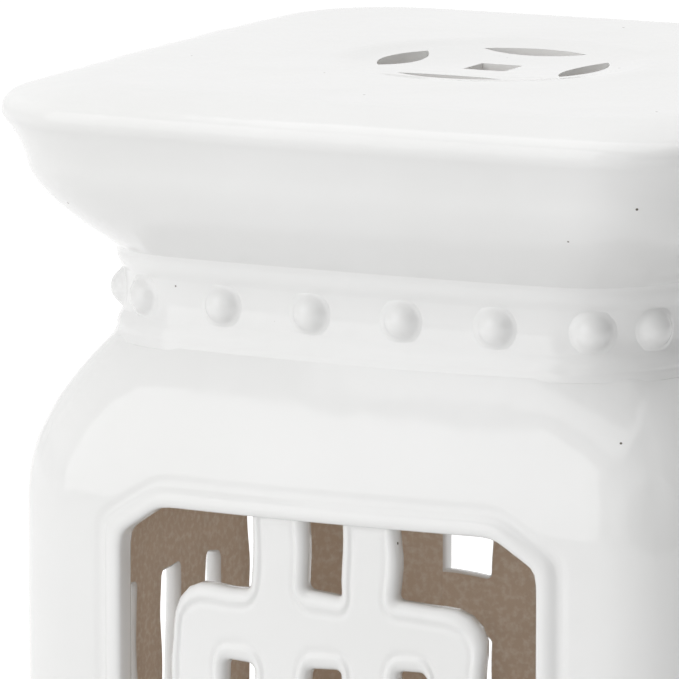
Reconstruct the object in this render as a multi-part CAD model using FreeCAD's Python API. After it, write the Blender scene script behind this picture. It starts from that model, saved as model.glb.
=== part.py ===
import FreeCAD, Part
import math
import os

os.makedirs("parts", exist_ok=True)

# Square garden stool of glazed earthenware, hollow and open underneath.
# Millimetres. Z is up and the floor is Z = 0. The stool stands centred on the
# Z axis, its front wall faces -Y, and its four sides are alike.

# Heights of the courses, from the floor up.
plinth_height = 62.0
lower_collar_height = 31.0
wall_height = 279.0
upper_collar_height = 31.0
cap_height = 62.0

# Plan of each course: half width at the middle of a side, how far a side bows
# out over its half width, and the radius of the corner.
seat_half, seat_bow, seat_corner = 147.5, 7.2, 45.0
neck_half, neck_bow, neck_corner = 114.0, 8.0, 42.0
foot_half, foot_bow, foot_corner = 141.0, 7.2, 45.0
barrel_half, barrel_bow, barrel_corner = 141.0, 11.8, 34.0

# Clay thicknesses.
wall_thickness = 8.0
seat_thickness = 10.0

# Shoulder of the barrel: the height over which it turns in towards each collar,
# how suddenly it does so, and where its cross-sections lie, as shares of that height.
shoulder_height = 56.0
shoulder_power = 1.9
shoulder_shares = (0.0, 0.3, 0.55, 0.78, 1.0)

# Seat cap: belly, nose bead and crown.
belly_height = 37.0
nose_overhang = 6.3
nose_radius = 7.0
nose_drop = 10.5
nose_angles = (-50.0, -25.0, 0.0, 25.0, 66.0)
crown_width = 40.0
crown_power = 2.0

# Medallion and pierced coin in the middle of the seat.
medallion_radius = 57.0
medallion_depth = 0.8
dish_depth = 2.8
petal_circle = 36.5
petal_length = 42.0
petal_width = 13.0
coin_square_half = 8.2
coin_square_hollow = 1.2

# Collars: a quarter-round fillet above and below a plain band.
fillet_height = 8.5
fillet_rise = 2.4
tongue_height = 6.0
tongue_thickness = 4.5
lute_gap = 0.4

# Nail-head bosses on the collars.
bosses_per_side = 6
boss_spacing = 36.0
boss_width = 14.0
boss_rise = 4.6
boss_sides = 16

# Opening in each wall, with its raised frame and the sunk line round it.
opening_half = 82.0
opening_height = 171.0
chamfer_width = 16.5
chamfer_height = 11.0
opening_round = 5.0
frame_width = 6.5
frame_rise = 1.6
groove_width = 4.5
groove_depth = 0.9

# Fretwork: a rounded ring, two uprights through it and a tie on each side.
ring_half_width = 58.5
ring_half_height = 59.5
ring_band = 19.0
ring_round = 15.0
ring_inner_round = 4.0
upright_width = 18.4
centre_gap = 16.6
tie_width = 23.0
window_round = 2.4
band_margin = 3.2
fret_recess = 1.4
band_rise = 1.7

# Base plinth.
foot_ring_width = 16.0

base_top = plinth_height
wall_bottom = base_top + lower_collar_height
wall_top = wall_bottom + wall_height
collar_top = wall_top + upper_collar_height
seat_top = collar_top + cap_height
wall_middle = (wall_bottom + wall_top) / 2.0
belly_half = seat_half - nose_overhang
# The walls and the cap meet the collars at the foot of a fillet, proud of the neck.
shoulder_half = neck_half + fillet_rise
outside = 2.0 * seat_half


def plan_geometry(half, bow, corner):
    """Radius of a bowed side, centre of the corner arc and angle where they meet."""
    side_radius = (half * half + bow * bow) / (2.0 * bow)
    back = side_radius - half
    reach = side_radius - corner
    centre = (-2.0 * back + math.sqrt(4.0 * back * back - 8.0 * (back * back - reach * reach))) / 4.0
    meet = math.atan2(centre, centre + back)
    return side_radius, centre, meet


def plan_wire(half, bow, corner, z, inset=0.0):
    """Closed outline of the square plan with bowed sides and round corners."""
    side_radius, centre, meet = plan_geometry(half, bow, corner)
    side = side_radius - inset
    round_radius = corner - inset
    drop = side_radius - half
    low = FreeCAD.Vector(0.0, drop - side, z)
    tangent = FreeCAD.Vector(side * math.sin(meet), drop - side * math.cos(meet), z)
    mirrored = FreeCAD.Vector(-tangent.x, tangent.y, z)
    diagonal = centre + round_radius * math.sin(math.pi / 4.0)
    middle = FreeCAD.Vector(diagonal, -diagonal, z)
    far = FreeCAD.Vector(-tangent.y, -tangent.x, z)
    edges = []
    for quarter in range(4):
        turn = FreeCAD.Rotation(FreeCAD.Vector(0, 0, 1), 90.0 * quarter)
        side_arc = Part.Arc(turn.multVec(mirrored), turn.multVec(low), turn.multVec(tangent))
        corner_arc = Part.Arc(turn.multVec(tangent), turn.multVec(middle), turn.multVec(far))
        edges.append(side_arc.toShape())
        edges.append(corner_arc.toShape())
    return Part.Wire(edges)


def plan_point(half, bow, corner, along):
    """Point and outward direction at a distance along the outline from a side's middle."""
    side_radius, centre, meet = plan_geometry(half, bow, corner)
    straight = side_radius * meet
    if abs(along) <= straight:
        angle = along / side_radius
        x = side_radius * math.sin(angle)
        y = side_radius - half - side_radius * math.cos(angle)
    else:
        angle = math.copysign(meet + (abs(along) - straight) / corner, along)
        x = math.copysign(centre, along) + corner * math.sin(angle)
        y = -centre - corner * math.cos(angle)
    return x, y, math.sin(angle), -math.cos(angle)


def blend(first, second, share):
    return first + (second - first) * share


def turned(shape, quarter):
    copy = shape.copy()
    copy.rotate(FreeCAD.Vector(0, 0, 0), FreeCAD.Vector(0, 0, 1), 90.0 * quarter)
    return copy


def save(shape, name):
    shape.exportStep("parts/" + name + ".step")
    print(name, "solids", len(shape.Solids), "volume", round(shape.Volume), "valid", shape.isValid())


def barrel_solid(inset):
    """The barrel's outer form, or its hollow when it is set in by the clay."""
    rises = [shoulder_height * (1.0 - share) for share in reversed(shoulder_shares)]
    heights = [wall_bottom + rise for rise in rises] + [wall_top - rise for rise in reversed(rises)]
    sections = []
    for z in heights:
        rise = min(z - wall_bottom, wall_top - z)
        share = (1.0 - rise / shoulder_height) ** shoulder_power
        half = blend(barrel_half, shoulder_half, share)
        bow = blend(barrel_bow, neck_bow, share)
        corner = blend(barrel_corner, neck_corner + fillet_rise, share)
        sections.append(plan_wire(half, bow, corner, z, inset))
    return Part.makeLoft(sections, True, True)


def upright_solid(half, bow, corner, low, high, inset=0.0):
    """A block with the same plan from bottom to top."""
    face = Part.Face(plan_wire(half, bow, corner, low, inset))
    return face.extrude(FreeCAD.Vector(0, 0, high - low))


def flat_prism(points, radii, near, far):
    """Upright prism through a wall: a rounded outline in X and Z, from near to far along Y."""
    corners = [FreeCAD.Vector(x, near, z) for x, z in points]
    count = len(corners)
    edges = []
    ends = []
    for index in range(count):
        here = corners[index]
        before = (corners[index - 1] - here).normalize()
        after = (corners[(index + 1) % count] - here).normalize()
        if radii[index] <= 0.0:
            ends.append((here, here, None))
            continue
        half_angle = before.getAngle(after) / 2.0
        cut = radii[index] / math.tan(half_angle)
        bisector = (before + after).normalize()
        middle = here + bisector * (radii[index] / math.sin(half_angle) - radii[index])
        ends.append((here + before * cut, here + after * cut, middle))
    for index in range(count):
        start, stop, middle = ends[index]
        if middle is not None:
            edges.append(Part.Arc(start, middle, stop).toShape())
        following = ends[(index + 1) % count][0]
        edges.append(Part.makeLine(stop, following))
    face = Part.Face(Part.Wire(edges))
    return face.extrude(FreeCAD.Vector(0, far - near, 0))


wall_near = -outside
wall_far = -neck_half / 2.0


def rectangle_prism(left, right, low, high, radius=0.0):
    points = [(left, low), (right, low), (right, high), (left, high)]
    return flat_prism(points, [radius] * 4, wall_near, wall_far)


def opening_prism(grow):
    """The octagon of a wall's opening, or a larger one round it."""
    half = opening_half + grow
    low = wall_middle - opening_height / 2.0 - grow
    high = wall_middle + opening_height / 2.0 + grow
    slope = math.hypot(chamfer_width, chamfer_height)
    # A grown octagon keeps its chamfers parallel, so their ends slide by these amounts.
    slide_x = grow * (chamfer_width + chamfer_height - slope) / chamfer_height
    slide_z = grow * (chamfer_width + chamfer_height - slope) / chamfer_width
    wide = chamfer_width + slide_x
    tall = chamfer_height + slide_z
    points = [
        (-half + wide, low),
        (half - wide, low),
        (half, low + tall),
        (half, high - tall),
        (half - wide, high),
        (-half + wide, high),
        (-half, high - tall),
        (-half, low + tall),
    ]
    return flat_prism(points, [opening_round + grow / 2.0] * 8, wall_near, wall_far)


def front_wedge():
    """The quarter of space in front, bounded by the mitres at the two front corners."""
    corners = [
        FreeCAD.Vector(0, 0, wall_bottom),
        FreeCAD.Vector(-outside, -outside, wall_bottom),
        FreeCAD.Vector(outside, -outside, wall_bottom),
    ]
    face = Part.Face(Part.makePolygon(corners + corners[:1]))
    return face.extrude(FreeCAD.Vector(0, 0, wall_height))


hollow = barrel_solid(wall_thickness)


def wall():
    """One barrel wall, mitred at the corners, with its opening, frame and sunk line."""
    slab = barrel_solid(0.0).cut(hollow)
    frame_zone = opening_prism(frame_width)
    groove_zone = opening_prism(frame_width + groove_width).cut(frame_zone)
    groove = barrel_solid(0.0).cut(barrel_solid(groove_depth)).common(groove_zone)
    raised = barrel_solid(-frame_rise).cut(hollow).common(frame_zone)
    slab = slab.common(front_wedge()).cut(groove).fuse(raised)
    return slab.cut(opening_prism(0.0)).removeSplitter()


def lattice_prism(margin):
    """The fretwork's bars as one prism; a margin draws every free edge in."""
    low = wall_middle - opening_height / 2.0
    high = wall_middle + opening_height / 2.0
    wide = ring_half_width
    tall = ring_half_height
    outer = rectangle_prism(
        -wide + margin, wide - margin, wall_middle - tall + margin, wall_middle + tall - margin,
        ring_round - margin)
    wide = ring_half_width - ring_band + margin
    tall = ring_half_height - ring_band + margin
    inner = rectangle_prism(
        -wide, wide, wall_middle - tall, wall_middle + tall, ring_inner_round)
    lattice = outer.cut(inner)
    for side in (-1.0, 1.0):
        near = side * (centre_gap / 2.0 + margin)
        far = side * (centre_gap / 2.0 + upright_width - margin)
        lattice = lattice.fuse(rectangle_prism(min(near, far), max(near, far), low, high))
        near = side * (ring_half_width - ring_band / 2.0)
        far = side * opening_half
        tie_low = wall_middle - tie_width / 2.0 + margin
        tie_high = wall_middle + tie_width / 2.0 - margin
        lattice = lattice.fuse(rectangle_prism(min(near, far), max(near, far), tie_low, tie_high))
    return lattice.removeSplitter()


def rounded_lattice():
    """The bars with small rounds where they cross, as the windows have."""
    lattice = lattice_prism(0.0)
    crossings = []
    limit_x = opening_half - window_round
    limit_z = opening_height / 2.0 - window_round
    for edge in lattice.Edges:
        if len(edge.Vertexes) != 2 or edge.Curve.TypeId != "Part::GeomLine":
            continue
        start, stop = edge.Vertexes[0].Point, edge.Vertexes[1].Point
        along_y = abs(start.x - stop.x) < 1e-6 and abs(start.z - stop.z) < 1e-6
        inside = abs(start.x) < limit_x and abs(start.z - wall_middle) < limit_z
        if along_y and inside:
            crossings.append((edge, start))
    sharp = [edge for edge, start in crossings if is_crossing(start)]
    return lattice.makeFillet(window_round, sharp)


def is_crossing(point):
    """True where an upright or a tie meets the ring, not where the ring itself turns."""
    x = abs(point.x)
    on_upright = min(abs(x - centre_gap / 2.0), abs(x - centre_gap / 2.0 - upright_width)) < 0.01
    on_tie = abs(abs(point.z - wall_middle) - tie_width / 2.0) < 0.01
    return on_upright or on_tie


def fret():
    """One fretwork panel, a little sunk in its opening, with raised bands on its bars."""
    bars = barrel_solid(fret_recess).cut(hollow).common(rounded_lattice())
    bands = barrel_solid(fret_recess - band_rise).cut(hollow).common(lattice_prism(band_margin))
    return bars.fuse(bands).removeSplitter()


def collar(bottom, height):
    """A neck ring: a plain band between two quarter-round fillets, with a tongue each way."""
    top = bottom + height
    ring = upright_solid(neck_half, neck_bow, neck_corner, bottom, top)
    for edge, inward in ((bottom, 1.0), (top, -1.0)):
        levels = []
        for step in range(4):
            angle = math.pi / 2.0 * (step / 3.0)
            z = edge + inward * fillet_height * math.sin(angle)
            levels.append(plan_wire(neck_half, neck_bow, neck_corner, z, -fillet_rise * math.cos(angle)))
        ring = ring.fuse(Part.makeLoft(levels, True, True))
    tongue_out = wall_thickness - fillet_rise + lute_gap
    low = bottom - tongue_height
    high = top + tongue_height
    tongue = upright_solid(neck_half, neck_bow, neck_corner, low, high, tongue_out)
    bore = upright_solid(neck_half, neck_bow, neck_corner, low, high, tongue_out + tongue_thickness)
    return ring.fuse(tongue).cut(bore).removeSplitter()


def boss(middle, out_x, out_y):
    """One nail head: a low dome whose flat back lies in the ring, before it is cut to the band."""
    ball_radius = (boss_width * boss_width / 4.0 + boss_rise * boss_rise) / (2.0 * boss_rise)
    rim = math.asin(boss_width / 2.0 / ball_radius)
    across = FreeCAD.Vector(-out_y, out_x, 0)
    out = FreeCAD.Vector(out_x, out_y, 0)
    sections = []
    for share in (1.25, 1.0, 0.72, 0.4, 0.12):
        angle = rim * share
        radius = ball_radius * math.sin(angle)
        centre = middle + out * (ball_radius * math.cos(angle) - ball_radius + boss_rise)
        corners = []
        for side in range(boss_sides + 1):
            turn = 2.0 * math.pi * side / boss_sides
            corners.append(centre + across * (radius * math.cos(turn)) + FreeCAD.Vector(0, 0, radius * math.sin(turn)))
        sections.append(Part.makePolygon(corners))
    return Part.makeLoft(sections, True, True)


def boss_row(bottom, height):
    """Six nail heads on the front of a collar, each pressed against its band."""
    band = upright_solid(neck_half, neck_bow, neck_corner, bottom, bottom + height)
    row = []
    for number in range(bosses_per_side):
        along = (number - (bosses_per_side - 1) / 2.0) * boss_spacing
        x, y, out_x, out_y = plan_point(neck_half, neck_bow, neck_corner, along)
        middle = FreeCAD.Vector(x, y, bottom + height / 2.0)
        row.append(boss(middle, out_x, out_y).cut(band))
    return row


def belly_profile(foot, reach, steps):
    """Half widths and rises of the belly, from its foot up to its widest."""
    outline = []
    for step in range(steps):
        share = (step / (steps - 1.0)) ** 1.3
        outline.append((blend(foot, reach, math.sin(math.pi / 2.0 * share)), belly_height * share))
    return outline


def nose_profile(half, degrees_list):
    """Half widths and heights, from the nose's centre, of points round the nose bead."""
    outline = []
    for degrees in degrees_list:
        angle = math.radians(degrees)
        outline.append((half - nose_radius * (1.0 - math.cos(angle)), nose_radius * math.sin(angle)))
    return outline


def belly_plan(half, z, inset=0.0):
    """Plan outline of the cap's belly, which changes from the neck's plan to the seat's."""
    share = (half - shoulder_half) / (seat_half - shoulder_half)
    bow = blend(neck_bow, seat_bow, share)
    corner = blend(neck_corner + fillet_rise, seat_corner, share)
    return plan_wire(half, bow, corner, z, inset)


def seat_plan(half, z):
    """Plan outline of the nose and crown: the seat's, drawn in evenly."""
    return plan_wire(seat_half, seat_bow, seat_corner, z, seat_half - half)


def seat_cap():
    """The cap: belly, nose and crowned seat in one casting, hollow underneath."""
    nose_z = seat_top - nose_drop
    belly = belly_profile(shoulder_half, belly_half, 5)
    nose = nose_profile(seat_half, nose_angles)
    side = [belly_plan(half, collar_top + rise) for half, rise in belly]
    side.extend(seat_plan(half, nose_z + rise) for half, rise in nose)
    edge_half, edge_rise = nose[-1]
    edge_z = nose_z + edge_rise
    for share in (0.4, 1.0):
        z = blend(seat_top, edge_z, (1.0 - share) ** crown_power)
        side.append(seat_plan(edge_half - crown_width * share, z))
    body = Part.makeLoft(side, True, True)
    inside = []
    for half, rise in belly_profile(shoulder_half, belly_half, 4):
        inside.append(belly_plan(half, collar_top + rise, wall_thickness))
    inside.append(belly_plan(belly_half, seat_top - seat_thickness, wall_thickness))
    body = body.cut(Part.makeLoft(inside, True, True))
    return body.cut(medallion()).cut(coin_piercing())


def medallion():
    """A cutter for the sunk disc round the coin: a small step, then a shallow dish."""
    step = Part.makeCylinder(
        medallion_radius, 2.0 * medallion_depth, FreeCAD.Vector(0, 0, seat_top - medallion_depth))
    levels = []
    for share in (1.0, 0.75, 0.5, 0.2):
        z = seat_top - medallion_depth - dish_depth * (1.0 - share * share)
        levels.append(Part.Wire(Part.makeCircle(medallion_radius * share, FreeCAD.Vector(0, 0, z))))
    return step.fuse(Part.makeLoft(levels, True, True))


def lens(length, width):
    """Petal outline in plan: two shallow arcs that meet in points."""
    ends = (FreeCAD.Vector(-length / 2.0, 0, 0), FreeCAD.Vector(length / 2.0, 0, 0))
    lower = Part.Arc(ends[0], FreeCAD.Vector(0, -width / 2.0, 0), ends[1]).toShape()
    upper = Part.Arc(ends[1], FreeCAD.Vector(0, width / 2.0, 0), ends[0]).toShape()
    return Part.Face(Part.Wire([lower, upper]))


def coin_piercing():
    """Four petals round a square with hollow sides, as a cutter through the seat."""
    deep = 2.0 * seat_thickness
    start = seat_top - 1.5 * seat_thickness
    petal = lens(petal_length, petal_width)
    petal.translate(FreeCAD.Vector(0, -petal_circle, start))
    cutters = [turned(petal, quarter).extrude(FreeCAD.Vector(0, 0, deep)) for quarter in range(4)]
    edges = []
    side = coin_square_half
    for quarter in range(4):
        turn = FreeCAD.Rotation(FreeCAD.Vector(0, 0, 1), 90.0 * quarter)
        first = turn.multVec(FreeCAD.Vector(-side, -side, start))
        middle = turn.multVec(FreeCAD.Vector(0, -side + coin_square_hollow, start))
        last = turn.multVec(FreeCAD.Vector(side, -side, start))
        edges.append(Part.Arc(first, middle, last).toShape())
    square = Part.Face(Part.Wire(edges)).extrude(FreeCAD.Vector(0, 0, deep))
    return square.multiFuse(cutters)


def foot_plan(half, z, inset=0.0):
    share = (half - shoulder_half) / (foot_half - shoulder_half)
    bow = blend(neck_bow, foot_bow, share)
    corner = blend(neck_corner + fillet_rise, foot_corner, share)
    return plan_wire(half, bow, corner, z, inset)


def base_plinth():
    """The base: the belly turned over, flared to a flat foot, open in the middle."""
    reach = foot_half - nose_overhang
    nose = nose_profile(foot_half, nose_angles[:-1])
    foot_half_width = nose[0][0]
    side = [foot_plan(foot_half_width, 0.0)]
    side.extend(foot_plan(half, nose_drop + rise) for half, rise in nose[1:])
    side.extend(foot_plan(half, base_top - rise) for half, rise in reversed(belly_profile(shoulder_half, reach, 5)))
    inside = []
    for half, rise in belly_profile(shoulder_half, reach, 4):
        inside.append(foot_plan(half, base_top - rise, wall_thickness))
    inside.append(foot_plan(foot_half_width, 0.0, foot_ring_width))
    return Part.makeLoft(side, True, True).cut(Part.makeLoft(inside, True, True))


side_names = ("front", "right", "back", "left")

save(seat_cap(), "seat_cap")

for collar_name, bottom, height in (
    ("upper", wall_top, upper_collar_height),
    ("lower", base_top, lower_collar_height),
):
    ring = collar(bottom, height)
    save(ring, collar_name + "_collar")
    front_row = boss_row(bottom, height)
    for quarter, side in enumerate(side_names):
        row = Part.makeCompound([turned(boss, quarter) for boss in front_row])
        save(row, collar_name + "_bosses_" + side)

front_wall = wall()
front_fret = fret()
for quarter, side in enumerate(side_names):
    save(turned(front_wall, quarter), side + "_wall")
    save(turned(front_fret, quarter), side + "_fret")

save(base_plinth(), "base_plinth")
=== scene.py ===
import math

import bmesh
import bpy
from mathutils import Matrix, Vector, noise


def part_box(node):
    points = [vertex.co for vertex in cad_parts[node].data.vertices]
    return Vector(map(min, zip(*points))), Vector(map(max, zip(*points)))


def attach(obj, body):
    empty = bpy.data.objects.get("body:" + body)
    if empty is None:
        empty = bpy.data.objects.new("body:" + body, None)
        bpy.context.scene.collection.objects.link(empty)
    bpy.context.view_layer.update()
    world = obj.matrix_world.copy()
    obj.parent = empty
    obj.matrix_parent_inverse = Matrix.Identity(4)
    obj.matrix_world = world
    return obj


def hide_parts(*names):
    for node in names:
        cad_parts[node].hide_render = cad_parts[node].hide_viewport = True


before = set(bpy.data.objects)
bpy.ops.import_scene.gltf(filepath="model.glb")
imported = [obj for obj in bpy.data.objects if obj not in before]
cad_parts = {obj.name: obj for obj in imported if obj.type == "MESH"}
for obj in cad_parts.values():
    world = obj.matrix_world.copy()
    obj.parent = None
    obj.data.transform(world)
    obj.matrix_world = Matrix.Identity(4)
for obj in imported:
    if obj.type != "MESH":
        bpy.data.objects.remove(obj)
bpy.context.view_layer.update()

# Camera. The stool is seen close to, a little from above and from the right of
# its front, through a long lens that takes in one corner, the seat and a window.
camera_distance = 3.0
camera_bearing = math.radians(25.28)
camera_turn = math.radians(1.07)
camera_pitch = math.radians(9.74)
camera_data = bpy.data.cameras.new("camera")
camera_data.lens = 440.07
camera_data.sensor_width = 36.0
camera = bpy.data.objects.new("camera", camera_data)
camera.location = (
    math.sin(camera_bearing) * camera_distance, -math.cos(camera_bearing) * camera_distance, 0.877)
camera.rotation_euler = (math.pi / 2.0 - camera_pitch, 0.0, camera_bearing + camera_turn)
bpy.context.scene.collection.objects.link(camera)
bpy.context.scene.camera = camera


# White glaze. A thick, glassy, slightly wavy coat over the whole outside and the
# cut edges of the piercings, with a few pinholes where gas broke through it.
glaze = bpy.data.materials.new("white_glaze_coat")
glaze.use_nodes = True
nodes = glaze.node_tree.nodes
links = glaze.node_tree.links
shader = nodes["Principled BSDF"]
place = nodes.new("ShaderNodeTexCoord")
cloud = nodes.new("ShaderNodeTexNoise")
cloud.inputs["Scale"].default_value = 9.0
cloud.inputs["Detail"].default_value = 3.0
tone = nodes.new("ShaderNodeValToRGB")
tone.color_ramp.elements[0].position = 0.3
tone.color_ramp.elements[0].color = (0.80, 0.80, 0.79, 1.0)
tone.color_ramp.elements[1].position = 0.7
tone.color_ramp.elements[1].color = (0.835, 0.835, 0.83, 1.0)
links.new(place.outputs["Object"], cloud.inputs["Vector"])
links.new(cloud.outputs["Fac"], tone.inputs["Fac"])
pinhole = nodes.new("ShaderNodeTexVoronoi")
pinhole.inputs["Scale"].default_value = 42.0
speck = nodes.new("ShaderNodeMapRange")
speck.inputs["From Min"].default_value = 0.016
speck.inputs["From Max"].default_value = 0.026
stain = nodes.new("ShaderNodeMix")
stain.data_type = "RGBA"
stain.inputs["A"].default_value = (0.10, 0.08, 0.06, 1.0)
links.new(place.outputs["Object"], pinhole.inputs["Vector"])
links.new(pinhole.outputs["Distance"], speck.inputs["Value"])
links.new(speck.outputs["Result"], stain.inputs["Factor"])
links.new(tone.outputs["Color"], stain.inputs["B"])
links.new(stain.outputs["Result"], shader.inputs["Base Color"])
sag = nodes.new("ShaderNodeTexNoise")
sag.inputs["Scale"].default_value = 26.0
sag.inputs["Detail"].default_value = 2.0
wave = nodes.new("ShaderNodeBump")
wave.inputs["Strength"].default_value = 0.22
wave.inputs["Distance"].default_value = 0.004
links.new(place.outputs["Object"], sag.inputs["Vector"])
links.new(sag.outputs["Fac"], wave.inputs["Height"])
links.new(wave.outputs["Normal"], shader.inputs["Normal"])
shader.inputs["Roughness"].default_value = 0.1
shader.inputs["IOR"].default_value = 1.5

# Raw clay. The inside is unglazed brown biscuit, misted in patches by the spray
# of white glaze that came through the openings.
raw_clay = bpy.data.materials.new("raw_clay")
raw_clay.use_nodes = True
nodes = raw_clay.node_tree.nodes
links = raw_clay.node_tree.links
shader = nodes["Principled BSDF"]
shader.inputs["Roughness"].default_value = 0.85
place = nodes.new("ShaderNodeTexCoord")
mist = nodes.new("ShaderNodeTexNoise")
mist.inputs["Scale"].default_value = 420.0
mist.inputs["Detail"].default_value = 3.0
tone = nodes.new("ShaderNodeValToRGB")
tone.color_ramp.elements[0].position = 0.45
tone.color_ramp.elements[0].color = (0.68, 0.56, 0.45, 1.0)
tone.color_ramp.elements[1].position = 0.8
tone.color_ramp.elements[1].color = (0.82, 0.75, 0.66, 1.0)
links.new(place.outputs["Object"], mist.inputs["Vector"])
links.new(mist.outputs["Fac"], tone.inputs["Fac"])
links.new(tone.outputs["Color"], shader.inputs["Base Color"])

GLAZED, RAW = 0, 1


# Seat cap. One slip-cast piece of earthenware: a belly that swells from the neck,
# a round nose, and a low crown with a shallow dished medallion, pierced with the
# four petals and the square of an old coin so that rain drains through it.
seat_half, seat_bow, seat_corner = 0.1475, 0.0072, 0.045
neck_half, neck_bow, neck_corner = 0.114, 0.008, 0.042
fillet_rise = 0.0024
shoulder_half = neck_half + fillet_rise
cap_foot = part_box("seat_cap")[0][2]
seat_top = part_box("seat_cap")[1][2] + 0.0008
belly_half = 0.1412
belly_height = 0.037
nose_radius = 0.007
nose_drop = 0.0110
clay = 0.008
seat_clay = 0.010
crown_width = 0.026
medallion_radius = 0.057
medallion_step = 0.0004
dish_depth = 0.0026
side_steps = 20
corner_steps = 10


def blend(first, second, share):
    return first + (second - first) * share


def plan_numbers(half, bow, corner):
    """Radius of a bowed side, centre of the corner arc and angle where they meet."""
    side_radius = (half * half + bow * bow) / (2.0 * bow)
    back = side_radius - half
    reach = side_radius - corner
    centre = (-2.0 * back + math.sqrt(4.0 * back * back - 8.0 * (back * back - reach * reach))) / 4.0
    return side_radius, centre, math.atan2(centre, centre + back)


def draw_plan(bed, half, bow, corner, z, inset=0.0):
    """A ring of edges, drawn by turning a point: a square with bowed sides and round corners."""
    known = set(bed.edges)
    side_radius, centre, meet = plan_numbers(half, bow, corner)
    back = side_radius - half
    reach = side_radius - inset
    first = bed.verts.new((-reach * math.sin(meet), back - reach * math.cos(meet), z))
    pencil = first
    for quarter in range(4):
        turn = Matrix.Rotation(quarter * math.pi / 2.0, 3, "Z")
        for pivot, angle, steps in (
            (Vector((0.0, back, z)), 2.0 * meet, side_steps),
            (Vector((centre, -centre, z)), math.pi / 2.0 - 2.0 * meet, corner_steps),
        ):
            drawn = bmesh.ops.spin(
                bed, geom=[pencil], cent=turn @ pivot, axis=(0, 0, 1), angle=angle, steps=steps)
            pencil = [item for item in drawn["geom_last"] if isinstance(item, bmesh.types.BMVert)][0]
    bmesh.ops.weld_verts(bed, targetmap={pencil: first})
    return [edge for edge in bed.edges if edge not in known]


def draw_circle(bed, radius, z):
    """A round ring of edges with as many points as the plan has."""
    turn = Matrix.Rotation(math.radians(-135.0), 4, "Z")
    made = bmesh.ops.create_circle(
        bed, segments=4 * (side_steps + corner_steps), radius=radius, matrix=Matrix.Translation((0, 0, z)) @ turn)
    return list({edge for point in made["verts"] for edge in point.link_edges})


def skin(bed, rings, coats, apart=(0.0, 0.0, 0.05)):
    """Faces between each ring and the next, each band with its own coat."""
    for first, second, coat in zip(rings, rings[1:], coats):
        # Rings in one plane would be joined crosswise, so they are held apart meanwhile.
        points = list({point for edge in second for point in edge.verts})
        bmesh.ops.translate(bed, verts=points, vec=apart)
        for face in bmesh.ops.bridge_loops(bed, edges=first + second)["faces"]:
            face.material_index = coat
        bmesh.ops.translate(bed, verts=points, vec=-Vector(apart))


def finish_piece(bed, name, *node_names):
    """Makes the piece that stands for these parts, glazed outside and raw inside."""
    for face in bed.faces:
        face.smooth = True
    for edge in bed.edges:
        edge.smooth = edge.calc_face_angle() < math.radians(55.0)
    mesh = bpy.data.meshes.new(name)
    bed.to_mesh(mesh)
    bed.free()
    mesh.materials.append(glaze)
    mesh.materials.append(raw_clay)
    piece = bpy.data.objects.new(name, mesh)
    bpy.context.scene.collection.objects.link(piece)
    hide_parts(*node_names)
    return piece


def round_off(piece, levels):
    """Subdivides the piece until its curves are smooth."""
    rounding = piece.modifiers.new("round_off", "SUBSURF")
    rounding.levels = levels
    rounding.render_levels = levels


def belly_plan(bed, half, z, inset=0.0):
    """The belly's outline at a height: the neck's plan below changes to the seat's above."""
    share = (half - shoulder_half) / (seat_half - shoulder_half)
    bow = blend(neck_bow, seat_bow, share)
    corner = blend(neck_corner + fillet_rise, seat_corner, share)
    return draw_plan(bed, half, bow, corner, z, inset)


def crown_plan(bed, half, z):
    """The seat's outline, shrunk towards the middle."""
    size = half / seat_half
    return draw_plan(bed, half, seat_bow * size, seat_corner * size, z)


bed = bmesh.new()
rings = []
# The rim inside the foot, then the foot with its soft edge.
ceiling = seat_top - seat_clay
belly_steps = 12
inner_belly = []
for step in range(belly_steps):
    share = (step / (belly_steps - 1.0)) ** 1.3
    half = blend(shoulder_half, belly_half, math.sin(math.pi / 2.0 * share))
    inner_belly.append((half, cap_foot + belly_height * share))
rings.append(belly_plan(bed, belly_half - 0.02, ceiling, clay))
rings.append(belly_plan(bed, belly_half - 0.003, ceiling, clay))
rings.append(belly_plan(bed, belly_half, ceiling - 0.003, clay))
for half, z in reversed(inner_belly[::3]):
    rings.append(belly_plan(bed, half, z + 0.0006, clay))
rings.append(belly_plan(bed, shoulder_half, cap_foot, clay - 0.0006))
inner_count = len(rings)
rings.append(belly_plan(bed, shoulder_half, cap_foot - 0.0004, 0.0010))
rings.append(belly_plan(bed, shoulder_half, cap_foot + 0.0001, 0.0002))
for half, z in inner_belly:
    rings.append(belly_plan(bed, half, z + 0.0003 * (1.0 - (z - cap_foot) / belly_height)))
nose_z = seat_top - nose_drop
for degrees in range(-50, 75, 14):
    angle = math.radians(degrees)
    half = seat_half - nose_radius * (1.0 - math.cos(angle))
    rings.append(crown_plan(bed, half, nose_z + nose_radius * math.sin(angle)))
edge_half = half
edge_z = nose_z + nose_radius * math.sin(angle)
crown_steps = 7
for step in range(1, crown_steps + 1):
    share = step / float(crown_steps)
    half = edge_half - crown_width * share
    rings.append(crown_plan(bed, half, blend(seat_top, edge_z, (1.0 - share) ** 2.0)))
rings.append(crown_plan(bed, 0.085, seat_top))
for radius, drop in ((0.0030, 0.0), (0.0010, 0.0001), (-0.0010, medallion_step - 0.0001), (-0.0030, medallion_step)):
    rings.append(draw_circle(bed, medallion_radius + radius, seat_top - drop))
for step in range(1, 12):
    radius = (medallion_radius - 0.003) * (1.0 - step / 12.0)
    hollow = dish_depth * (1.0 - (radius / medallion_radius) ** 2.0)
    rings.append(draw_circle(bed, radius, seat_top - medallion_step - hollow))
skin(bed, rings, [RAW] * inner_count + [GLAZED] * (len(rings) - inner_count - 1))
for ring, coat in ((rings[0], RAW), (rings[-1], GLAZED)):
    lid = bmesh.ops.contextual_create(bed, geom=ring)["faces"]
    for face in lid:
        face.material_index = coat
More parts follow.
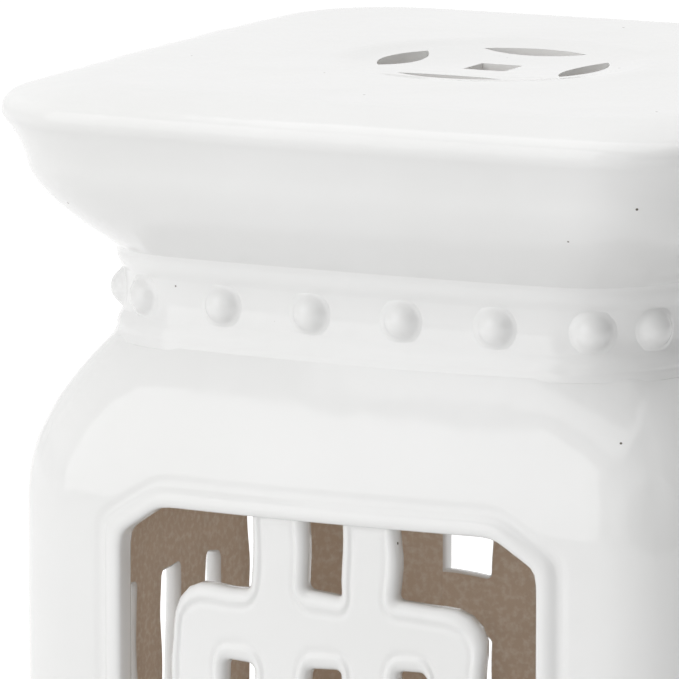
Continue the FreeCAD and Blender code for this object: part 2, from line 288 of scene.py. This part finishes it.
bmesh.ops.recalc_face_normals(bed, faces=bed.faces)
seat_cap = finish_piece(bed, "seat_cap", "seat_cap")
round_off(seat_cap, 1)

petal_circle = 0.0365
petal_length = 0.042
petal_width = 0.013
coin_square_half = 0.0082


def lens_prism(bed, length, width, low, high):
    """An upright prism on two shallow arcs that meet in points."""
    radius = (length * length / 4.0 + width * width / 4.0) / width
    sweep = 2.0 * math.asin(length / 2.0 / radius)
    known = set(bed.verts)
    for side in (1.0, -1.0):
        pencil = bed.verts.new((-side * length / 2.0, 0.0, low))
        bmesh.ops.spin(
            bed, geom=[pencil], cent=(0.0, side * (radius - width / 2.0), low),
            axis=(0, 0, 1), angle=sweep, steps=16)
    drawn = [point for point in bed.verts if point not in known]
    bmesh.ops.remove_doubles(bed, verts=drawn, dist=1e-6)
    drawn = [point for point in bed.verts if point not in known]
    outline = list({edge for point in drawn for edge in point.link_edges})
    face = bmesh.ops.contextual_create(bed, geom=outline)["faces"][0]
    raised = bmesh.ops.extrude_face_region(bed, geom=[face])["geom"]
    lifted = [item for item in raised if isinstance(item, bmesh.types.BMVert)]
    bmesh.ops.translate(bed, verts=lifted, vec=(0, 0, high - low))
    return drawn + lifted


bed = bmesh.new()
for quarter in range(4):
    petal = lens_prism(bed, petal_length, petal_width, seat_top - 0.02, seat_top + 0.01)
    bmesh.ops.translate(bed, verts=petal, vec=(0.0, -petal_circle, 0.0))
    bmesh.ops.rotate(
        bed, verts=petal, cent=(0, 0, 0), matrix=Matrix.Rotation(quarter * math.pi / 2.0, 3, "Z"))
square = bmesh.ops.create_cube(bed, size=1.0)["verts"]
bmesh.ops.scale(bed, verts=square, vec=(2.0 * coin_square_half, 2.0 * coin_square_half, 0.03))
bmesh.ops.translate(bed, verts=square, vec=(0, 0, seat_top - 0.005))
bmesh.ops.recalc_face_normals(bed, faces=bed.faces)
cutter_mesh = bpy.data.meshes.new("coin_piercing")
bed.to_mesh(cutter_mesh)
bed.free()
cutter = bpy.data.objects.new("coin_piercing", cutter_mesh)
bpy.context.scene.collection.objects.link(cutter)
piercing = seat_cap.modifiers.new("coin_piercing", "BOOLEAN")
piercing.object = cutter
piercing.operation = "DIFFERENCE"
piercing.solver = "EXACT"
pierced = bpy.data.meshes.new_from_object(seat_cap.evaluated_get(bpy.context.evaluated_depsgraph_get()))
seat_cap.modifiers.clear()
seat_cap.data = pierced
bpy.data.objects.remove(cutter)
soft_edge = seat_cap.modifiers.new("soft_edge", "BEVEL")
soft_edge.width = 0.0012
soft_edge.segments = 3
soft_edge.limit_method = "ANGLE"
soft_edge.angle_limit = math.radians(40.0)
even_light = seat_cap.modifiers.new("even_light", "WEIGHTED_NORMAL")
even_light.weight = 60
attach(seat_cap, "root")


# Collars. Each is a cast ring between barrel and cap or base: a plain band between
# two quarter-round fillets, with a tongue above and below that is luted inside its
# neighbours. A potter presses six nail heads onto the band of each side.
fillet_height = 0.0085
tongue_height = 0.006
tongue_out = 0.0062
tongue_in = 0.0107
# Half-width and height down the side of a nail head, to where it runs into the band.
boss_profile = (
    (0.0, 0.0046), (0.0015, 0.00445), (0.0031, 0.0039), (0.0044, 0.0030), (0.0053, 0.0022),
    (0.0059, 0.0015), (0.0065, 0.0009), (0.0071, 0.00045), (0.0078, 0.00015), (0.0085, -0.00003),
    (0.0090, -0.0002), (0.0091, -0.0008),
)
boss_spacing = 0.036
bosses_per_side = 6
side_names = ("front", "right", "back", "left")


def on_collar(along, out, z):
    """A point at a distance along the neck from a side's middle, and out from its face."""
    side_radius, centre, meet = plan_numbers(neck_half, neck_bow, neck_corner)
    straight = side_radius * meet
    if abs(along) <= straight:
        angle = along / side_radius
        radius = side_radius + out
        return Vector((radius * math.sin(angle), side_radius - neck_half - radius * math.cos(angle), z))
    angle = meet + (abs(along) - straight) / neck_corner
    radius = neck_corner + out
    return Vector((math.copysign(centre + radius * math.sin(angle), along), -centre - radius * math.cos(angle), z))


def make_collar(name):
    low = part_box(name)[0][2] + tongue_height
    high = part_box(name)[1][2] - tongue_height
    profile = []
    for step in range(1, 10):
        share = step / 9.0
        fall = 0.5 + 0.5 * math.cos(math.pi * share ** 1.6)
        profile.append((fillet_height * share, fillet_rise * fall ** 0.7))
    # Glaze pools in the corner and runs a little way over the joint.
    outer = [(low - 0.0026, -fillet_rise - 0.0006), (low - 0.0018, -fillet_rise - 0.0013)]
    outer += [(low - 0.0007, -fillet_rise - 0.0007), (low + 0.0003, -fillet_rise - 0.0003)]
    outer += [(low + rise, -out) for rise, out in profile]
    upper = [(low + high - z, inset) for z, inset in reversed(outer)]
    section = [(low, tongue_out), (low - tongue_height, tongue_out), (low - tongue_height, tongue_in)]
    section += [(high + tongue_height, tongue_in), (high + tongue_height, tongue_out), (high, tongue_out)]
    coats = [RAW] * len(section)
    section += list(reversed(upper)) + list(reversed(outer))
    coats += [GLAZED] * (len(outer) * 2)
    bed = bmesh.new()
    rings = [draw_plan(bed, neck_half, neck_bow, neck_corner, z, inset) for z, inset in section]
    skin(bed, rings + [rings[0]], coats)
    bmesh.ops.recalc_face_normals(bed, faces=bed.faces)
    ring = finish_piece(bed, name, name)
    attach(ring, "root")
    return (low + high) / 2.0


def make_bosses(name, quarter, middle):
    """Six domes pressed on one side, each with a little slip squeezed out round it."""
    bed = bmesh.new()
    for number in range(bosses_per_side):
        known = set(bed.verts)
        strand_points = [bed.verts.new((reach, -height, 0.0)) for reach, height in boss_profile]
        for first, second in zip(strand_points, strand_points[1:]):
            bed.edges.new((first, second))
        fresh = [point for point in bed.verts if point not in known]
        strand = fresh + list({edge for point in fresh for edge in point.link_edges})
        bmesh.ops.spin(
            bed, geom=strand, cent=(0, 0, 0), axis=(0, 1, 0), angle=2.0 * math.pi, steps=28, use_merge=True)
        dome = [point for point in bed.verts if point not in known]
        bmesh.ops.remove_doubles(bed, verts=dome, dist=1e-6)
        dome = [point for point in bed.verts if point not in known]
        pressed = (number - (bosses_per_side - 1) / 2.0) * boss_spacing
        for point in dome:
            point.co = on_collar(pressed + point.co.x, -point.co.y, middle + point.co.z)
    turn = Matrix.Rotation(quarter * math.pi / 2.0, 3, "Z")
    bmesh.ops.rotate(bed, verts=bed.verts, cent=(0, 0, 0), matrix=turn)
    rims = [edge for edge in bed.edges if edge.is_boundary]
    bmesh.ops.holes_fill(bed, edges=rims, sides=0)
    bmesh.ops.recalc_face_normals(bed, faces=bed.faces)
    row = finish_piece(bed, name, name)
    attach(row, "root")


for collar_name in ("upper", "lower"):
    band_middle = make_collar(collar_name + "_collar")
    for quarter, side in enumerate(side_names):
        make_bosses(collar_name + "_bosses_" + side, quarter, band_middle)


# Barrel. Four walls cast in one mould and joined at the corners before glazing,
# each cut through with an eight-sided opening inside a raised bead and a sunk line.
barrel_half, barrel_bow, barrel_corner = 0.141, 0.0118, 0.034
shoulder_height = 0.056
shoulder_power = 1.9
wall_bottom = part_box("front_wall")[0][2]
wall_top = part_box("front_wall")[1][2]
wall_middle = (wall_bottom + wall_top) / 2.0
opening_half = 0.082
opening_height = 0.171
chamfer_width = 0.0165
chamfer_height = 0.011
opening_round = 0.005
flat_radius, flat_centre, flat_meet = plan_numbers(barrel_half, barrel_bow, barrel_corner)
side_length = flat_radius * flat_meet
corner_length = barrel_corner * (math.pi / 4.0 - flat_meet)
mitre = side_length + corner_length


def on_barrel(along, z, out):
    """A point of the flat pattern laid onto the barrel, at a distance out from its face."""
    rise = min(z - wall_bottom, wall_top - z)
    share = max(0.0, 1.0 - rise / shoulder_height) ** shoulder_power
    half = blend(barrel_half, shoulder_half, share)
    corner = blend(barrel_corner, neck_corner + fillet_rise, share)
    side_radius, centre, meet = plan_numbers(half, blend(barrel_bow, neck_bow, share), corner)
    if abs(along) <= side_length:
        angle = meet * along / side_length
        radius = side_radius + out
        return Vector((radius * math.sin(angle), side_radius - half - radius * math.cos(angle), z))
    angle = meet + (math.pi / 4.0 - meet) * (abs(along) - side_length) / corner_length
    radius = corner + out
    return Vector((math.copysign(centre + radius * math.sin(angle), along), -centre - radius * math.cos(angle), z))


def draw_opening(bed, grow, out):
    """A ring of edges: the eight-sided opening, grown all round, at a distance out."""
    known = set(bed.edges)
    half = opening_half + grow
    tall = opening_height / 2.0 + grow
    slope = math.hypot(chamfer_width, chamfer_height)
    cut_x = chamfer_width + grow * (chamfer_width + chamfer_height - slope) / chamfer_height
    cut_z = chamfer_height + grow * (chamfer_width + chamfer_height - slope) / chamfer_width
    quarter_points = [(half, tall - cut_z), (half - cut_x, tall)]
    corners = quarter_points + [(-x, z) for x, z in reversed(quarter_points)]
    corners += [(-x, -z) for x, z in corners]
    points = [bed.verts.new((x, -out, wall_middle + z)) for x, z in corners]
    long_sides = []
    chamfers = []
    for index, point in enumerate(points):
        edge = bed.edges.new((point, points[(index + 1) % 8]))
        (chamfers if index % 2 == 0 else long_sides).append(edge)
    bmesh.ops.subdivide_edges(bed, edges=long_sides, cuts=15)
    bmesh.ops.subdivide_edges(bed, edges=chamfers, cuts=3)
    return [edge for edge in bed.edges if edge not in known]


bed = bmesh.new()
profile = (
    (0.0024, -0.0080), (0.0008, -0.0077), (0.0, -0.0066), (0.0, -0.0020), (0.0, 0.0), (0.0003, 0.0008),
    (0.0011, 0.0015), (0.0022, 0.0018), (0.0036, 0.0018), (0.0050, 0.0014), (0.0062, 0.0006),
    (0.0071, -0.0002), (0.0080, -0.0006), (0.0094, -0.0007), (0.0106, -0.0004), (0.0118, 0.0), (0.0132, 0.0),
)
rings = [draw_opening(bed, grow, out) for grow, out in profile]
pull_out = (0.0, -0.05, 0.0)
skin(bed, rings, [RAW] + [GLAZED] * len(rings), pull_out)
for ring, out, coat in ((rings[-1], 0.0, GLAZED), (rings[0], -clay, RAW)):
    known = set(bed.edges)
    corners = [(-mitre, wall_bottom), (mitre, wall_bottom), (mitre, wall_top), (-mitre, wall_top)]
    points = [bed.verts.new((x, -out, z)) for x, z in corners]
    sheet_edges = [bed.edges.new((points[index], points[(index + 1) % 4])) for index in range(4)]
    bmesh.ops.subdivide_edges(bed, edges=sheet_edges, cuts=18)
    sheet_edges = [edge for edge in bed.edges if edge not in known]
    known_faces = set(bed.faces)
    skin(bed, [ring, sheet_edges], [coat], pull_out)
    spokes = [edge for edge in bed.edges if edge not in known and edge not in set(sheet_edges)]
    bmesh.ops.subdivide_edges(bed, edges=spokes, cuts=9, use_grid_fill=True)
    for face in bed.faces:
        if face not in known_faces:
            face.material_index = coat
for z, up in ((wall_top - 0.0004, 1), (wall_bottom + 0.0004, 1)):
    everything = list(bed.verts) + list(bed.edges) + list(bed.faces)
    bmesh.ops.bisect_plane(bed, geom=everything, plane_co=(0, 0, z), plane_no=(0, 0, up), dist=1e-7)
for point in bed.verts:
    point.co = on_barrel(point.co.x, point.co.z, -point.co.y)
panel = list(bed.verts) + list(bed.edges) + list(bed.faces)
for quarter in range(1, 4):
    copied = bmesh.ops.duplicate(bed, geom=panel)["geom"]
    moved = [item for item in copied if isinstance(item, bmesh.types.BMVert)]
    bmesh.ops.rotate(
        bed, verts=moved, cent=(0, 0, 0), matrix=Matrix.Rotation(quarter * math.pi / 2.0, 3, "Z"))
bmesh.ops.remove_doubles(bed, verts=bed.verts, dist=1e-5)
for z in (wall_top, wall_bottom):
    rim = [edge for edge in bed.edges if edge.is_boundary and abs(edge.verts[0].co.z - z) < 1e-5]
    sheets = [[edge for edge in rim if edge.link_faces[0].material_index == coat] for coat in (GLAZED, RAW)]
    skin(bed, sheets, [RAW])
bmesh.ops.recalc_face_normals(bed, faces=bed.faces)
barrel = finish_piece(bed, "barrel", *[side + "_wall" for side in side_names])
round_off(barrel, 1)
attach(barrel, "root")


# Fretwork. A lattice of flat clay bars fills each opening: a round-cornered ring
# with two uprights through it and a tie to each side. It is cut from one slab,
# edged with a knife, carries a raised band along its bars, and is luted in.
ring_half_width = 0.0618
ring_half_height = 0.0588
ring_side = 0.0215
ring_head = 0.0255
ring_round = 0.0165
ring_inner_round = 0.003
upright_width = 0.0205
centre_gap = 0.0152
tie_width = 0.023
window_round = 0.0024
wide_ledge = 1.6
knife_wander = 0.0024
fret_recess = 0.0014
fret_back = 0.0076
buried = 0.006


arc_steps = 5
run_step = 0.006


def draw_outline(bed, corners, drawn_in, out):
    """A closed outline with rounded corners, drawn in towards the clay, which is on its left."""
    known = set(bed.edges)
    runs = len(corners)
    arcs = []
    for index in range(runs):
        x, z, radius = corners[index]
        here = Vector((x, z))
        arriving = (here - Vector(corners[index - 1][:2])).normalized()
        leaving = (Vector(corners[(index + 1) % runs][:2]) - here).normalized()
        drawn = Vector((drawn_in, drawn_in * wide_ledge))
        here += Vector((-arriving.y - leaving.y, arriving.x + leaving.x)) * drawn
        bend = math.copysign(1.0, arriving.cross(leaving))
        grown = Vector((radius, radius)) - drawn * bend if radius else Vector((0.0, 0.0))
        pivot = here + (leaving - arriving) * grown
        arc = []
        for step in range(arc_steps + 1 if radius else 1):
            share = math.pi / 2.0 * step / arc_steps
            spot = pivot + grown * (arriving * math.sin(share) - leaving * math.cos(share))
            arc.append(bed.verts.new((spot.x, -out, wall_middle + spot.y)))
        for first, second in zip(arc, arc[1:]):
            bed.edges.new((first, second))
        arcs.append(arc)
    straight_runs = {}
    for index in range(runs):
        following = (index + 1) % runs
        run = bed.edges.new((arcs[index][-1], arcs[following][0]))
        length = math.dist(corners[index][:2], corners[following][:2])
        straight_runs.setdefault(int(length / run_step), []).append(run)
    for cuts, edges in straight_runs.items():
        if cuts:
            bmesh.ops.subdivide_edges(bed, edges=edges, cuts=cuts)
    return [edge for edge in bed.edges if edge not in known]


bar_near = centre_gap / 2.0
bar_far = bar_near + upright_width
bar_end = opening_height / 2.0 + buried
tie_end = opening_half + buried
slot_half = ring_half_width - ring_side
slot_tall = ring_half_height - ring_head
quarter_outline = [
    (tie_end, tie_width / 2.0, 0.0),
    (ring_half_width, tie_width / 2.0, window_round),
    (ring_half_width, ring_half_height, ring_round),
    (bar_far, ring_half_height, window_round),
    (bar_far, bar_end, 0.0),
    (bar_near, bar_end, 0.0),
    (bar_near, ring_half_height, window_round),
]
upper_half = quarter_outline + [(-x, z, radius) for x, z, radius in reversed(quarter_outline)]
outlines = [upper_half + [(-x, -z, radius) for x, z, radius in upper_half]]
for left, right, left_round, right_round in (
    (-slot_half, -bar_far, ring_inner_round, window_round),
    (-bar_near, bar_near, window_round, window_round),
    (bar_far, slot_half, window_round, ring_inner_round),
):
    outlines.append([
        (left, slot_tall, left_round), (right, slot_tall, right_round),
        (right, -slot_tall, right_round), (left, -slot_tall, left_round)])
# How far in from a bar's edge, and how far out, the knife-rounded edge, the flat
# margin and the raised band run.
bar_profile = (
    (0.0005, -0.0076), (0.0, -0.0070), (0.0, -0.0034), (0.0003, -0.0021), (0.0009, -0.0011), (0.0017, -0.0004),
    (0.0026, 0.0), (0.0032, -0.0002), (0.0037, -0.0007), (0.0042, -0.0009), (0.0048, -0.0007), (0.0055, -0.0005),
    (0.0061, -0.0005),
)


def make_fret(name, quarter):
    bed = bmesh.new()
    first_rings = []
    last_rings = []
    for corners in outlines:
        rings = [draw_outline(bed, corners, drawn_in, out) for drawn_in, out in bar_profile]
        skin(bed, rings, [GLAZED] * len(rings), pull_out)
        first_rings += rings[0]
        last_rings += rings[-1]
    for rim, coat in ((last_rings, GLAZED), (first_rings, RAW)):
        filled = bmesh.ops.triangle_fill(bed, use_beauty=True, edges=rim, normal=(0, -1, 0))
        for item in filled["geom"]:
            if isinstance(item, bmesh.types.BMFace):
                item.material_index = coat
    bmesh.ops.recalc_face_normals(bed, faces=bed.faces)
    for point in bed.verts:
        # The knife wanders a little from the pattern, another way on each side.
        shake = noise.noise_vector(Vector((point.co.x * 42.0, quarter * 7.0, point.co.z * 42.0)))
        along = point.co.x + knife_wander * shake.x
        point.co = on_barrel(along, point.co.z + knife_wander * shake.z, -point.co.y)
    bmesh.ops.rotate(
        bed, verts=bed.verts, cent=(0, 0, 0), matrix=Matrix.Rotation(quarter * math.pi / 2.0, 3, "Z"))
    fret = finish_piece(bed, name, name)
    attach(fret, "root")


for quarter, side in enumerate(side_names):
    make_fret(side + "_fret", quarter)


# Base. The cap's belly turned over and flared to a flat foot, cast open in the
# middle; the stool stands on its unglazed foot ring.
foot_half, foot_bow, foot_corner = 0.141, 0.0072, 0.045
foot_ring_width = 0.016
base_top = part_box("base_plinth")[1][2]


def foot_plan(bed, half, z, inset=0.0):
    share = (half - shoulder_half) / (foot_half - shoulder_half)
    bow = blend(neck_bow, foot_bow, share)
    corner = blend(neck_corner, foot_corner, share)
    return draw_plan(bed, half, bow, corner, z, inset)


reach = foot_half - (seat_half - belly_half)
bed = bmesh.new()
section = []
for step in range(belly_steps):
    share = (step / (belly_steps - 1.0)) ** 1.3
    half = blend(shoulder_half, reach, math.sin(math.pi / 2.0 * share))
    section.append((half, base_top - belly_height * share))
rings = [foot_plan(bed, reach, nose_drop, clay)]
rings += [foot_plan(bed, half, z, clay) for half, z in reversed(section[::3])]
inner_count = len(rings)
rings.append(foot_plan(bed, shoulder_half, base_top, 0.0003))
rings += [foot_plan(bed, half, z - 0.0003 * (1.0 - (base_top - z) / belly_height)) for half, z in section]
for degrees in range(50, -31, -14):
    angle = math.radians(degrees)
    half = foot_half - nose_radius * (1.0 - math.cos(angle))
    rings.append(foot_plan(bed, half, nose_drop + nose_radius * math.sin(angle)))
rings.append(foot_plan(bed, half - 0.0015, 0.0025))
rings.append(foot_plan(bed, half - 0.0020, 0.0008))
rings.append(foot_plan(bed, half - 0.0030, 0.0))
outer_count = len(rings)
rings.append(foot_plan(bed, half - 0.0045, 0.0))
rings.append(foot_plan(bed, half, 0.0, foot_ring_width - 0.002))
rings.append(foot_plan(bed, half, 0.002, foot_ring_width))
skin(bed, rings + [rings[0]], [RAW] * inner_count + [GLAZED] * (outer_count - inner_count) + [RAW] * 4)
bmesh.ops.recalc_face_normals(bed, faces=bed.faces)
base_plinth = finish_piece(bed, "base_plinth", "base_plinth")
round_off(base_plinth, 1)
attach(base_plinth, "root")


# Studio. A white floor that keeps the stool's shadow and runs out to white, large
# soft lights, and an even sky.
bed = bmesh.new()
bmesh.ops.create_grid(bed, x_segments=1, y_segments=1, size=30.0)
mesh = bpy.data.meshes.new("floor")
bed.to_mesh(mesh)
bed.free()
floor = bpy.data.objects.new("floor", mesh)
bpy.context.scene.collection.objects.link(floor)
paper = bpy.data.materials.new("white_paper")
paper.use_nodes = True
nodes = paper.node_tree.nodes
links = paper.node_tree.links
nodes.clear()
surface = nodes.new("ShaderNodeOutputMaterial")
matt = nodes.new("ShaderNodeBsdfDiffuse")
matt.inputs["Color"].default_value = (0.8, 0.8, 0.8, 1.0)
glow = nodes.new("ShaderNodeEmission")
seen = nodes.new("ShaderNodeLightPath")
seen_most = nodes.new("ShaderNodeMath")
seen_most.operation = "MAXIMUM"
seen_all = nodes.new("ShaderNodeMath")
seen_all.operation = "MAXIMUM"
lift = nodes.new("ShaderNodeMath")
lift.operation = "MULTIPLY"
lift.inputs[1].default_value = 0.55
both = nodes.new("ShaderNodeAddShader")
links.new(seen.outputs["Is Camera Ray"], seen_most.inputs[0])
links.new(seen.outputs["Is Glossy Ray"], seen_most.inputs[1])
links.new(seen_most.outputs[0], seen_all.inputs[0])
links.new(seen.outputs["Is Transmission Ray"], seen_all.inputs[1])
links.new(seen_all.outputs[0], lift.inputs[0])
links.new(lift.outputs[0], glow.inputs["Strength"])
links.new(matt.outputs[0], both.inputs[0])
links.new(glow.outputs[0], both.inputs[1])
links.new(both.outputs[0], surface.inputs["Surface"])
mesh.materials.append(paper)

world = bpy.data.worlds.new("studio")
bpy.context.scene.world = world
world.use_nodes = True
nodes = world.node_tree.nodes
links = world.node_tree.links
sky = nodes["Background"]
sky.inputs["Color"].default_value = (1.0, 1.0, 1.0, 1.0)
seen = nodes.new("ShaderNodeLightPath")
dim = nodes.new("ShaderNodeMapRange")
dim.inputs["To Max"].default_value = 1.0
where = nodes.new("ShaderNodeTexCoord")
split = nodes.new("ShaderNodeSeparateXYZ")
behind = nodes.new("ShaderNodeMapRange")
behind.inputs["From Min"].default_value = 0.0
behind.inputs["From Max"].default_value = 0.8
behind.inputs["To Min"].default_value = 0.68
behind.inputs["To Max"].default_value = 0.95
beside = nodes.new("ShaderNodeMapRange")
beside.inputs["From Min"].default_value = 0.1
beside.inputs["From Max"].default_value = 0.8
beside.inputs["To Min"].default_value = 1.0
beside.inputs["To Max"].default_value = 0.46
around = nodes.new("ShaderNodeMath")
around.operation = "MULTIPLY"
links.new(where.outputs["Generated"], split.inputs["Vector"])
links.new(split.outputs["Y"], behind.inputs["Value"])
links.new(split.outputs["X"], beside.inputs["Value"])
links.new(behind.outputs["Result"], around.inputs[0])
links.new(beside.outputs["Result"], around.inputs[1])
links.new(around.outputs[0], dim.inputs["To Min"])
links.new(seen.outputs["Is Camera Ray"], dim.inputs["Value"])
links.new(dim.outputs["Result"], sky.inputs["Strength"])


def hang_light(name, place, aim, width, height, power):
    """A soft box that faces a point of the stool."""
    data = bpy.data.lights.new(name, "AREA")
    data.shape = "RECTANGLE"
    data.size = width
    data.size_y = height
    data.energy = power
    lamp = bpy.data.objects.new(name, data)
    lamp.location = place
    lamp.rotation_euler = (Vector(aim) - Vector(place)).to_track_quat("-Z", "Y").to_euler()
    bpy.context.scene.collection.objects.link(lamp)


hang_light("left_box", (-0.95, -1.9, 1.1), (0, 0, 0.25), 2.0, 2.0, 16.5)
hang_light("top_box", (0.0, -0.2, 2.0), (0, 0, 0.4), 1.8, 1.8, 9.5)
hang_light("front_box", (0.9, -2.4, 1.0), (0, 0, 0.25), 1.0, 1.4, 2.0)

# A weak lamp in the hollow shows the clay, as light bounced in from all sides does.
data = bpy.data.lights.new("hollow_fill", "POINT")
data.energy = 0.085
data.shadow_soft_size = 0.05
fill = bpy.data.objects.new("hollow_fill", data)
fill.location = (0.0, 0.0, 0.26)
fill.visible_camera = False
fill.visible_glossy = False
bpy.context.scene.collection.objects.link(fill)

bpy.context.scene.view_settings.view_transform = "Standard"
